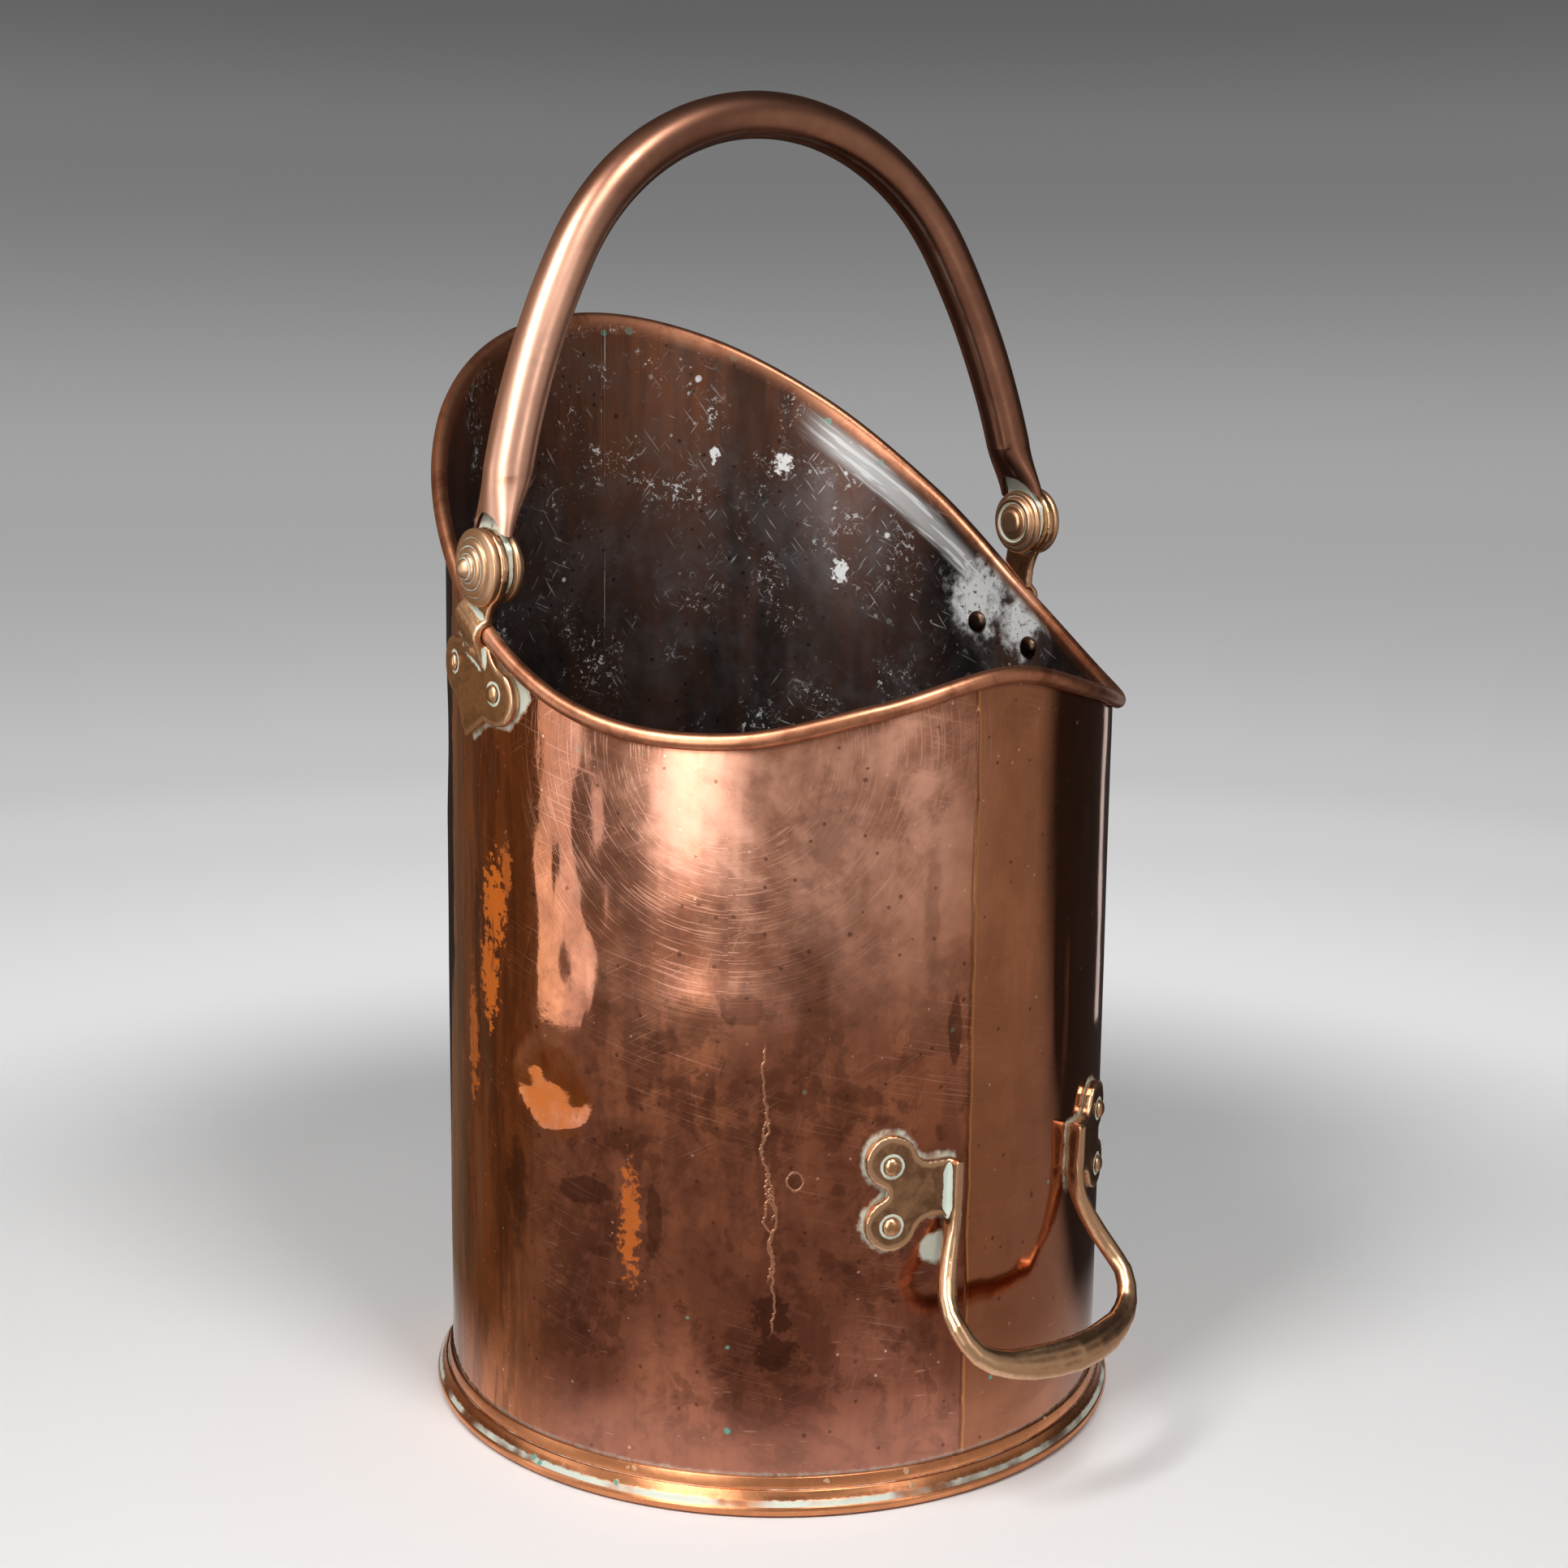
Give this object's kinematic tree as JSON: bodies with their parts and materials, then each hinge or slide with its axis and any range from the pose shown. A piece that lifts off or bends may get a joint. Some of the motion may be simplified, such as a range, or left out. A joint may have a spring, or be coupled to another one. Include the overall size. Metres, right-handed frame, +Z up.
{
  "type": "coal bin",
  "caption": "Round copper coal bin with a tall pouring hood, a swinging bail on riveted brackets and a tipping handle low on the front.",
  "frame": {"origin": "on the floor, under the middle of the whole object", "axes": "+Z up; +Y towards the tall hood; -Y towards the tipping handle; bail pivots at -X and +X"},
  "size_m": [0.3322, 0.349, 0.5842],
  "materials": {
    "copper_sheet": "worn polished copper",
    "copper_bottom": "dull brown copper",
    "copper_foot": "worn orange copper",
    "copper_tube": "worn satin copper",
    "bronze": "rubbed golden-brown bronze",
    "iron_wire": "plain dark iron"
  },
  "bodies": {
    "bin": {"body_wall": "copper_sheet", "rim_wire": "iron_wire", "base_pan": "copper_bottom", "foot_ring": "copper_foot", "foot_wire": "iron_wire", "tip_handle": "bronze", "bracket_left": "bronze", "bracket_rivet_left_front": "bronze", "bracket_rivet_left_back": "bronze", "handle_rivet_left_upper": "bronze", "handle_rivet_left_lower": "bronze", "pivot_pin_left": "bronze", "pivot_knob_left": "bronze", "pivot_washer_left": "bronze", "bracket_right": "bronze", "bracket_rivet_right_front": "bronze", "bracket_rivet_right_back": "bronze", "handle_rivet_right_upper": "bronze", "handle_rivet_right_lower": "bronze", "pivot_pin_right": "bronze", "pivot_knob_right": "bronze", "pivot_washer_right": "bronze"},
    "bail": {"bail_tube": "copper_tube", "bail_tongue_left": "bronze", "bail_tongue_right": "bronze"}
  },
  "joints": [
    {"name": "bail_swing", "type": "hinge", "parent": "bin", "child": "bail", "pos_m": [0, 0.01741, 0.3866], "axis": [0.9995, 0, 0.0314], "range_deg": [-48, 110]}
  ]
}
